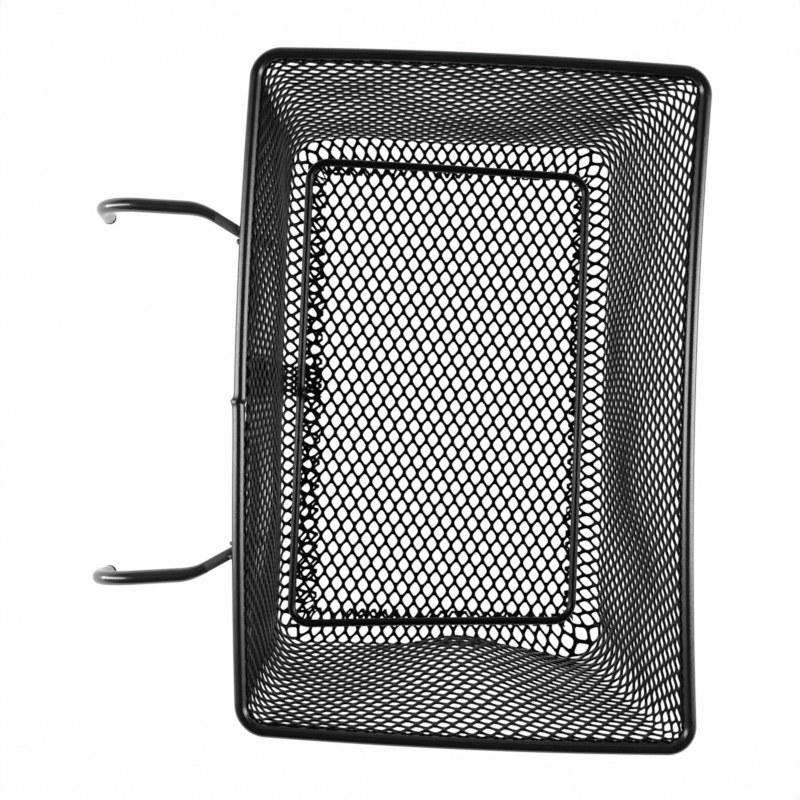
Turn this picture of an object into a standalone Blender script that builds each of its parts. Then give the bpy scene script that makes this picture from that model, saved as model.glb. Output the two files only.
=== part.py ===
"""Expanded-metal bicycle basket with two handlebar hooks, in metres.

+X points forward, away from the bicycle, +Y to the rider's left and +Z up.
The origin is the middle of the base, on the underside of the floor panel.

From the bottom up: a flat floor panel of diamond mesh, the inturned flange of
the side mesh, the wire ring that clamps both, the mesh walls, and the rim tube
that the walls are welded to. Each hook is one bent rod: it runs up the outside
of the back wall, passes under the rim, reaches back over the handlebar and
turns down, and a soft sleeve covers its outer half.
"""

import math
from typing import NamedTuple

import bmesh
import bpy
import numpy as np
from mathutils import Matrix, Vector

# Rim: a tube bent to a rounded rectangle, pulled slightly out of true
RIM_LENGTH = 0.345
RIM_WIDTH = 0.232
RIM_TUBE_DIAMETER = 0.0066
RIM_CORNER_RADIUS = 0.015
RIM_HEIGHT = 0.190
RIM_FORWARD = 0.0106
RIM_BACK_BOW = 0.0051
RIM_FRONT_DISH = 0.0053
RIM_END_BOW = 0.0024
RIM_LEAN = 0.0023

# Base: the crease where the side mesh turns in to become the flange
BASE_LENGTH = 0.313
BASE_WIDTH = 0.200
BASE_CORNER_RADIUS = 0.018
FLANGE_WIDTH = 0.0217
FLANGE_TUCK_RADIUS = 0.004

# Diamond mesh: one modelled diamond stands for three by three of the sheet's own
MESH_THICKNESS = 0.0010
MESH_SHORT_WAY = 0.0245
MESH_LONG_WAY = 0.0434
MESH_OPEN_SHARE = 0.60
FLANGE_ROWS = 1
WALL_FLARE = 0.40
WALL_SEAT_ANGLE = math.radians(30.0)

# Floor panel and the ring that holds it down, which is bent a little out of true
PANEL_OVERHANG = 0.003
PANEL_TURN = math.radians(-3.0)
RING_WIRE_DIAMETER = 0.0050
RING_CORNER_RADIUS = 0.012
RING_INSET_BACK = 0.0111
RING_INSET = 0.0154
RING_BACK_LEAN = 0.0025
RING_FRONT_LEAN = 0.0013
RING_TAPER = 0.0031
RING_END_BOW = 0.0006
RING_SHIFT = -0.00115

# Hooks
HOOK_ROD_DIAMETER = 0.0054
HOOK_FOOT_HEIGHT = 0.088
HOOK_SETBACK = 0.0232
HOOK_REACH = 0.0752
HOOK_DROP = 0.044
HOOK_ROOT_BEND = 0.007
HOOK_ARM_BEND = 0.030
HOOK_TIP_BEND = 0.022

# How far each hook's foot, root, arm bend and end stand from the basket's middle,
# and how far its tip leans back and inward from the vertical
LEFT_FOOT_Y = 0.0845
LEFT_ROOT_Y = 0.0805
LEFT_BEND_Y = 0.0935
LEFT_END_Y = 0.0953
LEFT_TIP_BACK = 0.0022
LEFT_TIP_INWARD = 0.0038
RIGHT_FOOT_Y = 0.0830
RIGHT_ROOT_Y = 0.0778
RIGHT_BEND_Y = 0.0908
RIGHT_END_Y = 0.0950
RIGHT_TIP_BACK = -0.0028
RIGHT_TIP_INWARD = -0.0013

# Sleeves
SLEEVE_DIAMETER = 0.0073
SLEEVE_LEAD = 0.001
SLEEVE_TIP_WALL = 0.0015
SLEEVE_DOME_HEIGHT = 0.0021
SLEEVE_DOME_FLAT = 0.0027

# Clearances: pieces that are welded or pushed together keep this between them
SEAT_GAP = 0.0003
SLEEVE_GAP = 0.0003

# Finishes: colour and roughness
RIM_FINISH = ((0.018, 0.018, 0.020), 0.25)
MESH_FINISH = ((0.022, 0.022, 0.024), 0.35)
RING_FINISH = ((0.018, 0.018, 0.020), 0.25)
ROD_FINISH = ((0.020, 0.020, 0.022), 0.30)
SLEEVE_FINISH = ((0.030, 0.030, 0.032), 0.40)

# Facets
TUBE_RESOLUTION = 4
WIRE_RESOLUTION = 2
CORNER_STEPS = 6
SIDE_STEPS = 8
BEND_STEP = math.radians(15.0)
LEG_STEPS = 4
DOME_STEPS = (0.0, 0.45, 0.8, 1.0)
MERGE_DISTANCE = 0.000005
SHARP_ANGLE = math.radians(50.0)

RIM_TUBE_RADIUS = RIM_TUBE_DIAMETER / 2
RING_WIRE_RADIUS = RING_WIRE_DIAMETER / 2
HOOK_ROD_RADIUS = HOOK_ROD_DIAMETER / 2
SLEEVE_RADIUS = SLEEVE_DIAMETER / 2
PANEL_MIDDLE = MESH_THICKNESS / 2
FLANGE_MIDDLE = MESH_THICKNESS + SEAT_GAP + MESH_THICKNESS / 2
RING_MIDDLE = FLANGE_MIDDLE + MESH_THICKNESS / 2 + SEAT_GAP + RING_WIRE_RADIUS


class HookPlace(NamedTuple):
    """Where one hook runs.

    side is +1 for left, and foot, root, bend and end are distances from the
    basket's middle.
    """

    side: int
    foot: float
    root: float
    bend: float
    end: float
    tip_back: float
    tip_inward: float


HOOK_PLACES = {
    "left": HookPlace(
        1,
        LEFT_FOOT_Y,
        LEFT_ROOT_Y,
        LEFT_BEND_Y,
        LEFT_END_Y,
        LEFT_TIP_BACK,
        LEFT_TIP_INWARD,
    ),
    "right": HookPlace(
        -1,
        RIGHT_FOOT_Y,
        RIGHT_ROOT_Y,
        RIGHT_BEND_Y,
        RIGHT_END_Y,
        RIGHT_TIP_BACK,
        RIGHT_TIP_INWARD,
    ),
}


def outward_turn(share, stops):
    """The outward direction's angle from +X at each share of the walk round an outline."""
    quarter_turns = [2, 2, 3, 3, 4, 4, 5, 5, 6, 6]
    return np.interp(share, stops, quarter_turns) * math.pi / 2


class Outline:
    """A rounded rectangle about a centre, walked by share of its length.

    Share 0 is the middle of the back side, and the walk goes round by the
    right-hand end, the front and the left-hand end. A point is a corner centre
    plus the corner radius along the outward direction: the centre moves along
    the sides while the direction waits, and the direction turns at the corners
    while the centre waits. The stops between sides and corners are shared by
    all outlines, so that equal shares lie above each other.
    """

    def __init__(self, width, length, corner, forward=0.0):
        self.half_x = width / 2
        self.half_y = length / 2
        self.corner = corner
        self.forward = forward

    def inset(self, distance, least_corner=0.0):
        """The outline this far inside, its corners at least as round as given."""
        corner = max(self.corner - distance, least_corner)
        width = 2 * (self.half_x - distance)
        length = 2 * (self.half_y - distance)
        return Outline(width, length, corner, self.forward)

    def stretches(self):
        """Lengths of the sides and corners in the order of the walk."""
        arc = self.corner * math.pi / 2
        end = 2 * (self.half_x - self.corner)
        half_side = self.half_y - self.corner
        return [half_side, arc, end, arc, 2 * half_side, arc, end, arc, half_side]

    def stops(self):
        """Shares at which the walk passes from a side to a corner or back."""
        lengths = self.stretches()
        return np.concatenate([[0.0], np.cumsum(lengths)]) / sum(lengths)

    def points(self, share, stops):
        """X, Y of each share, as an array with two columns."""
        side_x = self.half_x - self.corner
        side_y = self.half_y - self.corner
        share = np.asarray(share) % 1.0
        ahead = [-1, -1, -1, 1, 1, 1, 1, -1, -1, -1]
        left = [0, -1, -1, -1, -1, 1, 1, 1, 1, 0]
        turn = outward_turn(share, stops)
        x = np.interp(share, stops, ahead) * side_x + self.corner * np.cos(turn)
        y = np.interp(share, stops, left) * side_y + self.corner * np.sin(turn)
        return np.stack([x + self.forward, y], axis=-1)


RIM_AXIS = Outline(RIM_WIDTH, RIM_LENGTH, RIM_CORNER_RADIUS, RIM_FORWARD).inset(RIM_TUBE_RADIUS)
WALL_SEAT = RIM_TUBE_RADIUS + SEAT_GAP + MESH_THICKNESS / 2
WALL_TOP = RIM_AXIS.inset(WALL_SEAT * math.cos(WALL_SEAT_ANGLE))
WALL_TOP_HEIGHT = RIM_HEIGHT - WALL_SEAT * math.sin(WALL_SEAT_ANGLE)
CREASE = Outline(BASE_WIDTH, BASE_LENGTH, BASE_CORNER_RADIUS)
FLANGE_EDGE = CREASE.inset(FLANGE_WIDTH, FLANGE_TUCK_RADIUS)
RING_CENTRE_X = (RING_INSET_BACK - RING_INSET) / 2
RING_AXIS = Outline(
    BASE_WIDTH - RING_INSET_BACK - RING_INSET,
    BASE_LENGTH - 2 * RING_INSET,
    RING_CORNER_RADIUS,
    RING_CENTRE_X,
)
STOPS = (CREASE.stops() + WALL_TOP.stops()) / 2


def out_of_true(points):
    """Bow the rim's plan: the back outward, the front inward, the ends outward.

    The two long sides move towards the bicycle by a parabola that vanishes at
    the corners, and the ends lean out of square with the width.
    """
    across = (points[..., 0] - RIM_FORWARD) / (RIM_WIDTH / 2)
    along = points[..., 1] / (RIM_LENGTH / 2)
    bow = RIM_BACK_BOW * (1 - across) / 2 + RIM_FRONT_DISH * (1 + across) / 2
    moved = points.copy()
    moved[..., 0] -= bow * (1 - along**2)
    moved[..., 1] += RIM_END_BOW * along * (1 - across**2) - RIM_LEAN * across
    return moved


def ring_out_of_true(points):
    """Lean the ring's long sides, bow its ends to the left and shift it.

    The two ends also draw together towards the front.
    """
    across = (points[..., 0] - RING_CENTRE_X) / RING_AXIS.half_x
    along = points[..., 1] / RING_AXIS.half_y
    lean = RING_BACK_LEAN * (1 - across) / 2 + RING_FRONT_LEAN * (1 + across) / 2
    moved = points.copy()
    moved[..., 0] += lean * along
    moved[..., 1] += RING_SHIFT + RING_END_BOW * (1 - across**2) - RING_TAPER * along * across
    return moved


def path_shares(stops):
    """Shares for a tube's path: a few steps on each side, more round each corner."""
    shares = []
    for index, (start, end) in enumerate(zip(stops[:-1], stops[1:])):
        steps = CORNER_STEPS if index % 2 else SIDE_STEPS
        if index in (0, len(stops) - 2):
            steps = SIDE_STEPS // 2
        shares.extend(np.linspace(start, end, steps, endpoint=False))
    return np.array(shares)


def new_material(name, finish):
    """A plain coat from its colour and roughness; no piece shows bare metal."""
    colour, roughness = finish
    material = bpy.data.materials.new(name)
    material.use_nodes = True
    shader = material.node_tree.nodes["Principled BSDF"]
    shader.inputs["Base Color"].default_value = (*colour, 1.0)
    shader.inputs["Roughness"].default_value = roughness
    shader.inputs["Metallic"].default_value = 0.0
    material.diffuse_color = (*colour, 1.0)
    return material


def place(obj, location, material, parent):
    """Link an object to the scene at a place in the basket's frame."""
    bpy.context.scene.collection.objects.link(obj)
    obj.location = location
    obj.parent = parent
    obj.data.materials.append(material)
    return obj


def tube_curve(name, points, radius, resolution, closed=False, swell=None):
    """A round tube along a path; swell scales the radius at each point."""
    curve = bpy.data.curves.new(name, "CURVE")
    curve.dimensions = "3D"
    curve.bevel_depth = radius
    curve.bevel_resolution = resolution
    curve.use_fill_caps = not closed
    spline = curve.splines.new("POLY")
    spline.points.add(len(points) - 1)
    spline.use_cyclic_u = closed
    for index, point in enumerate(points):
        spline.points[index].co = (*point, 1.0)
        spline.points[index].radius = 1.0 if swell is None else swell[index]
    return bpy.data.objects.new(name, curve)


def flat_loop(outline, stops, shape):
    """A closed path round a bent outline, in a plane through the outline's centre."""
    points = shape(outline.points(path_shares(stops), stops))
    points[:, 0] -= outline.forward
    return [Vector((x, y, 0.0)) for x, y in points]


def bent_path(corners, bend_radii):
    """A rod's path: straight runs through the corners, each bent on its own radius."""
    path = [corners[0]]
    for before, corner, after, radius in zip(corners, corners[1:], corners[2:], bend_radii):
        arriving = (corner - before).normalized()
        leaving = (after - corner).normalized()
        bend = arriving.angle(leaving)
        setback = bend_setback(before, corner, after, radius)
        start = corner - arriving * setback
        inward = (leaving - arriving * arriving.dot(leaving)).normalized()
        steps = max(2, math.ceil(bend / BEND_STEP))
        for step in range(steps + 1):
            angle = bend * step / steps
            along = arriving * math.sin(angle) * radius
            path.append(start + along + inward * (1 - math.cos(angle)) * radius)
    path.append(corners[-1])
    return path


def path_from(path, length):
    """The part of a path after the given length."""
    rest = length
    for index, (start, end) in enumerate(zip(path, path[1:])):
        run = (end - start).length
        if rest < run:
            return [start.lerp(end, rest / run)] + path[index + 1 :]
        rest -= run
    return path[-2:]


def path_length(path):
    return sum((end - start).length for start, end in zip(path, path[1:]))


def lattice(columns, rows, point_at, closed):
    """A thin sheet of diamond mesh, before it has its thickness.

    Bonds sit where column and row are both even or both odd, and each is a
    small diamond with corners to the left, right, above and below. A strand
    joins a bond to the next one up on either side. Bonds on the first and last
    row are halves, cut straight. point_at turns a column and a row, counted in
    half pitches, into a place.
    """
    half_bond = 1 - math.sqrt(MESH_OPEN_SHARE)
    sheet = bmesh.new()
    bonds = {}
    for row in range(rows + 1):
        for column in range(row % 2, columns, 2):
            reach = {
                "left": (-half_bond, 0.0),
                "right": (half_bond, 0.0),
                "above": (0.0, half_bond if row < rows else 0.0),
                "below": (0.0, -half_bond if row > 0 else 0.0),
            }
            bonds[column, row] = {
                side: sheet.verts.new(point_at(column + shift, row + rise))
                for side, (shift, rise) in reach.items()
                if not (row == rows and side == "above") and not (row == 0 and side == "below")
            }
    for (column, row), bond in bonds.items():
        if row > 0:
            sheet.faces.new([bond["left"], bond["below"], bond["right"]])
        if row < rows:
            sheet.faces.new([bond["left"], bond["right"], bond["above"]])
        for step in (1, -1):
            place_above = column + step
            if closed:
                place_above %= columns
            upper = bonds.get((place_above, row + 1))
            if upper is None or row == rows:
                continue
            near = "right" if step > 0 else "left"
            far = "left" if step > 0 else "right"
            strand = [bond[near], upper["below"], upper[far], bond["above"]]
            sheet.faces.new(strand if step > 0 else strand[::-1])
    return sheet


def sheet_object(name, sheet):
    """Give a thin sheet its thickness, half to each side."""
    mesh = bpy.data.meshes.new(name)
    sheet.to_mesh(mesh)
    sheet.free()
    obj = bpy.data.objects.new(name, mesh)
    wall = obj.modifiers.new("thickness", "SOLIDIFY")
    wall.thickness = MESH_THICKNESS
    wall.offset = 0.0
    return obj


def wall_profile(height_share, flare=WALL_FLARE):
    """How far the wall has spread from the crease to the rim at this height.

    It rises steadily, and flares in its last part with the fourth power.
    """
    return (1 - flare) * height_share + flare * height_share**4


def build_side_mesh(material, parent):
    """One strip of mesh wrapped round the four walls, its foot turned inward.

    The back and the front flare towards the rim, and the ends rise straight.
    """
    columns = 2 * round(sum(CREASE.stretches()) / MESH_SHORT_WAY)
    wall_height = WALL_TOP_HEIGHT - FLANGE_MIDDLE
    wall_rows = max(2, round(wall_height / (MESH_LONG_WAY / 2)))

    def point_at(column, row):
        share = column / columns
        crease = CREASE.points(share, STOPS)
        if row < FLANGE_ROWS:
            edge = FLANGE_EDGE.points(share, STOPS)
            x, y = crease + (edge - crease) * (1 - row / FLANGE_ROWS)
            return Vector((x, y, 0.0))
        height_share = (row - FLANGE_ROWS) / wall_rows
        top = out_of_true(WALL_TOP.points(share, STOPS))
        flare = WALL_FLARE * math.cos(outward_turn(share % 1.0, STOPS)) ** 2
        x, y = crease + (top - crease) * wall_profile(height_share, flare)
        return Vector((x, y, wall_height * height_share))

    sheet = lattice(columns, FLANGE_ROWS + wall_rows, point_at, closed=True)
    obj = sheet_object("side_mesh", sheet)
    return place(obj, (0.0, 0.0, FLANGE_MIDDLE), material, parent)


def drop_scraps(sheet):
    """Keep the largest connected piece of a cut sheet."""
    unseen = set(sheet.verts)
    pieces = []
    while unseen:
        piece = [unseen.pop()]
        for vert in piece:
            for edge in vert.link_edges:
                other = edge.other_vert(vert)
                if other in unseen:
                    unseen.remove(other)
                    piece.append(other)
        pieces.append(piece)
    pieces.sort(key=len)
    scraps = [vert for piece in pieces[:-1] for vert in piece]
    bmesh.ops.delete(sheet, geom=scraps, context="VERTS")


def build_floor_mesh(material, parent):
    """A flat panel sheared from the same mesh, with a bond at the origin."""
    half_x = RING_AXIS.half_x + PANEL_OVERHANG
    half_y = RING_AXIS.half_y + PANEL_OVERHANG
    reach = math.hypot(half_x, half_y) + abs(RING_CENTRE_X)
    columns_each_way = 2 * math.ceil(reach / MESH_SHORT_WAY)
    rows_each_way = 2 * math.ceil(reach / MESH_LONG_WAY)
    turn = Matrix.Rotation(PANEL_TURN, 3, "Z")

    def point_at(column, row):
        x = (column - columns_each_way) * MESH_SHORT_WAY / 2
        y = (row - rows_each_way) * MESH_LONG_WAY / 2
        return turn @ Vector((x, y, 0.0))

    sheet = lattice(2 * columns_each_way + 1, 2 * rows_each_way, point_at, closed=False)
    cuts = (
        (Vector((RING_CENTRE_X + half_x, 0, 0)), Vector((1, 0, 0))),
        (Vector((RING_CENTRE_X - half_x, 0, 0)), Vector((-1, 0, 0))),
        (Vector((0, half_y, 0)), Vector((0, 1, 0))),
        (Vector((0, -half_y, 0)), Vector((0, -1, 0))),
    )
    for edge, outward in cuts:
        everything = sheet.verts[:] + sheet.edges[:] + sheet.faces[:]
        bmesh.ops.bisect_plane(
            sheet, geom=everything, plane_co=edge, plane_no=outward, clear_outer=True
        )
    drop_scraps(sheet)
    obj = sheet_object("floor_mesh", sheet)
    return place(obj, (0.0, 0.0, PANEL_MIDDLE), material, parent)


def build_rim(material, parent):
    """The rim tube, a closed loop."""
    path = flat_loop(RIM_AXIS, STOPS, out_of_true)
    obj = tube_curve("rim_tube", path, RIM_TUBE_RADIUS, TUBE_RESOLUTION, closed=True)
    return place(obj, (RIM_FORWARD, 0.0, RIM_HEIGHT), material, parent)


def build_ring(material, parent):
    """The wire ring that lies on the flange, inside the basket."""
    path = flat_loop(RING_AXIS, RING_AXIS.stops(), ring_out_of_true)
    obj = tube_curve("floor_ring", path, RING_WIRE_RADIUS, WIRE_RESOLUTION, closed=True)
    return place(obj, (RING_CENTRE_X, 0.0, RING_MIDDLE), material, parent)


def back_x(outline, y):
    """X of the back side of an outline, bent as the rim is, at this Y."""
    straight = outline.half_y - outline.corner
    share = STOPS[1] * min(abs(y) / straight, 1.0)
    point = outline.points(share if y < 0 else 1.0 - share, STOPS)
    return out_of_true(point)[0]


def bend_setback(before, corner, after, radius):
    """How far from its corner a bend of this radius starts and ends."""
    return radius * math.tan((corner - before).angle(after - corner) / 2)


def hook_path(hook):
    """The rod's path, from its foot on the back wall to its tip, in the basket's frame.

    The leg lies against the outside of the wall and follows its slope. It passes
    under the rim tube so closely that its root bend touches the tube. Returns
    the path and the places of the root bend and of the arm bend's start.
    """
    foot_y = hook.side * hook.foot
    root_y = hook.side * hook.root
    off_wall = MESH_THICKNESS / 2 + SEAT_GAP + HOOK_ROD_RADIUS
    under_rim = RIM_HEIGHT - RIM_TUBE_RADIUS - SEAT_GAP - HOOK_ROD_RADIUS
    leg = []
    for step in range(LEG_STEPS + 1):
        y = foot_y + (root_y - foot_y) * step / LEG_STEPS
        z = HOOK_FOOT_HEIGHT + (under_rim - HOOK_FOOT_HEIGHT) * step / LEG_STEPS
        height_share = (z - FLANGE_MIDDLE) / (WALL_TOP_HEIGHT - FLANGE_MIDDLE)
        crease_x = -CREASE.half_x
        wall_x = crease_x + (back_x(WALL_TOP, y) - crease_x) * wall_profile(height_share)
        leg.append(Vector((wall_x - off_wall, y, z)))

    tube_x = back_x(RIM_AXIS, root_y)
    bend_x = leg[-1].x - HOOK_ROOT_BEND
    touch = HOOK_ROOT_BEND + RIM_TUBE_RADIUS + SEAT_GAP + HOOK_ROD_RADIUS
    arm_z = RIM_HEIGHT - math.sqrt(touch**2 - (tube_x - bend_x) ** 2) + HOOK_ROOT_BEND
    root_bend = Vector((leg[-1].x, root_y, arm_z))
    arm_bend = Vector((tube_x - HOOK_SETBACK, hook.side * hook.bend, arm_z))
    end = Vector((tube_x - HOOK_REACH, hook.side * hook.end, arm_z))
    tip = end + Vector((-hook.tip_back, -hook.side * hook.tip_inward, -HOOK_DROP))
    corners = [leg[-2], root_bend, arm_bend, end, tip]
    path = leg[:-2] + bent_path(corners, [HOOK_ROOT_BEND, HOOK_ARM_BEND, HOOK_TIP_BEND])
    setback = bend_setback(root_bend, arm_bend, end, HOOK_ARM_BEND)
    return path, root_bend, arm_bend + (root_bend - arm_bend).normalized() * setback


def build_hook(label, hook, rod_material, sleeve_material, parent):
    """One hook rod and the sleeve on its outer half, closed by a dome at the tip."""
    path, root_bend, arm_start = hook_path(hook)
    root = Vector((root_bend.x, root_bend.y, RIM_HEIGHT))
    path = [point - root for point in path]
    rod = tube_curve(f"hook_{label}", path, HOOK_ROD_RADIUS, WIRE_RESOLUTION)
    place(rod, root, rod_material, parent)

    away = [(point + root - arm_start).length for point in path]
    to_arm_bend = away.index(min(away))
    covered = path_from(path, path_length(path[: to_arm_bend + 1]) - SLEEVE_LEAD)
    down = (path[-1] - path[-2]).normalized()
    bore_end = covered[-1] + down * SLEEVE_GAP
    past_mouth = covered[0] + (covered[0] - covered[1]).normalized() * SLEEVE_TIP_WALL
    bore_path = [past_mouth] + covered[1:-1] + [bore_end]
    bore_radius = HOOK_ROD_RADIUS + SLEEVE_GAP
    bore = tube_curve("bore", bore_path, bore_radius, WIRE_RESOLUTION)

    dome_start = bore_end + down * (SLEEVE_TIP_WALL - SLEEVE_DOME_HEIGHT)
    dome = [dome_start + down * SLEEVE_DOME_HEIGHT * share for share in DOME_STEPS]
    narrowing = 1 - (SLEEVE_DOME_FLAT / SLEEVE_DIAMETER) ** 2
    swell = [1.0] * (len(covered) - 1)
    swell += [math.sqrt(1 - narrowing * share**2) for share in DOME_STEPS]
    outer_path = covered[:-1] + dome
    outer = tube_curve("outer", outer_path, SLEEVE_RADIUS, WIRE_RESOLUTION + 1, swell=swell)
    sleeve = place(as_mesh(outer, f"hook_sleeve_{label}"), root, sleeve_material, parent)
    cutter = place(as_mesh(bore, f"hook_bore_{label}"), root, sleeve_material, parent)
    cutter.hide_render = True
    cutter.display_type = "WIRE"
    cut = sleeve.modifiers.new("bore", "BOOLEAN")
    cut.operation = "DIFFERENCE"
    cut.object = cutter


def as_mesh(curve_object, name):
    """A mesh object with the shape of a curve object."""
    bpy.context.scene.collection.objects.link(curve_object)
    graph = bpy.context.evaluated_depsgraph_get()
    mesh = bpy.data.meshes.new_from_object(curve_object.evaluated_get(graph))
    bpy.data.objects.remove(curve_object)
    body = bmesh.new()
    body.from_mesh(mesh)
    bmesh.ops.remove_doubles(body, verts=body.verts[:], dist=MERGE_DISTANCE)
    bmesh.ops.recalc_face_normals(body, faces=body.faces[:])
    body.to_mesh(mesh)
    body.free()
    mesh.shade_smooth()
    mesh.set_sharp_from_angle(angle=SHARP_ANGLE)
    return bpy.data.objects.new(name, mesh)


def main():
    """Clear the scene and build the basket's eight pieces under one empty."""
    for obj in list(bpy.data.objects):
        bpy.data.objects.remove(obj)
    basket = bpy.data.objects.new("basket", None)
    bpy.context.scene.collection.objects.link(basket)
    build_rim(new_material("rim_coat", RIM_FINISH), basket)
    build_side_mesh(new_material("side_mesh_coat", MESH_FINISH), basket)
    build_floor_mesh(new_material("floor_mesh_coat", MESH_FINISH), basket)
    build_ring(new_material("ring_coat", RING_FINISH), basket)
    for label, hook in HOOK_PLACES.items():
        rod_coat = new_material(f"hook_{label}_coat", ROD_FINISH)
        sleeve_vinyl = new_material(f"hook_sleeve_{label}_vinyl", SLEEVE_FINISH)
        build_hook(label, hook, rod_coat, sleeve_vinyl, basket)


main()
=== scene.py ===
"""Looks of the expanded-metal bicycle basket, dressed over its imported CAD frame.

Metres, +X forward, +Y to the rider's left and +Z up. The origin is the middle
of the base, on the underside of the floor panel. The CAD solids carry a coarse
mesh with one diamond for three by three of the sheet's own. Here every diamond
of the walls and the floor is made, with the overlap where the strip's ends
meet, the ragged end of the flange and the welds.
"""

import logging
import math
from collections.abc import Callable, Sequence
from dataclasses import dataclass
from enum import Enum
from functools import partial

import bmesh
import bpy
import numpy as np
from bpy.types import ID, Material, Mesh, Node, NodeSocket, NodeTree, Object
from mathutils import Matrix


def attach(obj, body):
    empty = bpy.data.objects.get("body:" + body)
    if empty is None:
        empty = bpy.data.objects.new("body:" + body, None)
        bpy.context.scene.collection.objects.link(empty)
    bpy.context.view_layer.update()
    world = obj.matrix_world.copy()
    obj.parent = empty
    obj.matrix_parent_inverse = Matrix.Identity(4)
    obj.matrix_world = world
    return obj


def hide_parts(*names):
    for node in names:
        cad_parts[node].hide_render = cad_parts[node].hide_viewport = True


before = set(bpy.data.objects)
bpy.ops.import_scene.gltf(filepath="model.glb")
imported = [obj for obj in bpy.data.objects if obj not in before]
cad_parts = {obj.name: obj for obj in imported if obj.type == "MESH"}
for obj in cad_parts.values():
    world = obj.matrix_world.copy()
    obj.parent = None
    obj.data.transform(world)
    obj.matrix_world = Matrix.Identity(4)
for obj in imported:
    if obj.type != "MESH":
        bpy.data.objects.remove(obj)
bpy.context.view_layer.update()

log = logging.getLogger("basket")

SHARP_ANGLE = math.radians(58.0)
MERGE_STEP = 0.00002
CUT_TOLERANCE = 0.000001
ACROSS = (0.0, 1.0, 0.0)
NO_TRIANGLES = np.empty((0, 3), int)

Pair = tuple[float, float]
Triple = tuple[float, float, float]
Span = tuple[float, float, int]
Cut = tuple[Pair, Pair]
Feed = NodeSocket | float | tuple[float, float, float, float]


class Side(Enum):
    """The two sides of the basket, by the sign of Y."""

    LEFT = 1
    RIGHT = -1

    @property
    def label(self) -> str:
        """The side's name as the CAD nodes spell it."""
        return self.name.lower()


# Plan of the basket


@dataclass(frozen=True)
class Outline:
    """A rounded rectangle about a centre, walked by share of its length.

    Share 0 is the middle of the back side, and the walk goes round by the
    right-hand end, the front and the left-hand end. A point is a corner centre
    plus the corner radius along the outward direction: the centre moves along
    the sides while the direction waits, and the direction turns at the corners
    while the centre waits.
    """

    half_x: float
    half_y: float
    corner: float
    forward: float = 0.0

    def inset(self, distance: float, least_corner: float = 0.0) -> "Outline":
        """Return the outline this far inside, its corners at least as round as given."""
        corner = max(self.corner - distance, least_corner)
        return Outline(self.half_x - distance, self.half_y - distance, corner, self.forward)

    def stops(self) -> np.ndarray:
        """Shares at which the walk passes from a side to a corner or back.

        Returns:
            Ten shares from 0 to 1, with the halves of the back side at both ends.
        """
        arc = self.corner * math.pi / 2
        end = 2 * (self.half_x - self.corner)
        half_side = self.half_y - self.corner
        lengths = [half_side, arc, end, arc, 2 * half_side, arc, end, arc, half_side]
        return np.concatenate([[0.0], np.cumsum(lengths)]) / sum(lengths)

    def points(self, share: np.ndarray, stops: np.ndarray) -> np.ndarray:
        """Points of the outline.

        Args:
            share: places on the walk.
            stops: shares at which sides and corners meet.

        Returns:
            X and Y, as an array whose last axis is two long.
        """
        share = np.asarray(share) % 1.0
        ahead = [-1, -1, -1, 1, 1, 1, 1, -1, -1, -1]
        left = [0, -1, -1, -1, -1, 1, 1, 1, 1, 0]
        turn = outward_turn(share, stops)
        x = np.interp(share, stops, ahead) * (self.half_x - self.corner)
        y = np.interp(share, stops, left) * (self.half_y - self.corner)
        x = x + self.corner * np.cos(turn) + self.forward
        y = y + self.corner * np.sin(turn)
        return np.stack([x, y], axis=-1)


def outward_turn(share: np.ndarray, stops: np.ndarray) -> np.ndarray:
    """Angle of the outward direction: level along a side, a quarter turn more at each corner.

    Args:
        share: places on the walk.
        stops: shares at which sides and corners meet.

    Returns:
        Radians from +X.
    """
    quarter_turns = [2, 2, 3, 3, 4, 4, 5, 5, 6, 6]
    return np.interp(share % 1.0, stops, quarter_turns) * math.pi / 2


def walk(stops: np.ndarray, side_steps: int, corner_steps: int, weld: Span) -> np.ndarray:
    """Shares for a closed path, even on each side and round each corner, with more at a weld.

    Args:
        stops: shares at which sides and corners meet.
        side_steps: steps on a whole side.
        corner_steps: steps round a corner.
        weld: first and last share of the weld's own steps, and their number.

    Returns:
        The shares in rising order, from 0 up to, but without, 1.
    """
    spans = list(zip(stops[:-1], stops[1:]))
    counts = [corner_steps if index % 2 else side_steps for index in range(len(spans))]
    counts[0] = counts[-1] = side_steps // 2
    even = [np.linspace(a, b, n, endpoint=False) for (a, b), n in zip(spans, counts)]
    return np.sort(np.concatenate([*even, np.linspace(*weld) % 1.0]))


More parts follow.
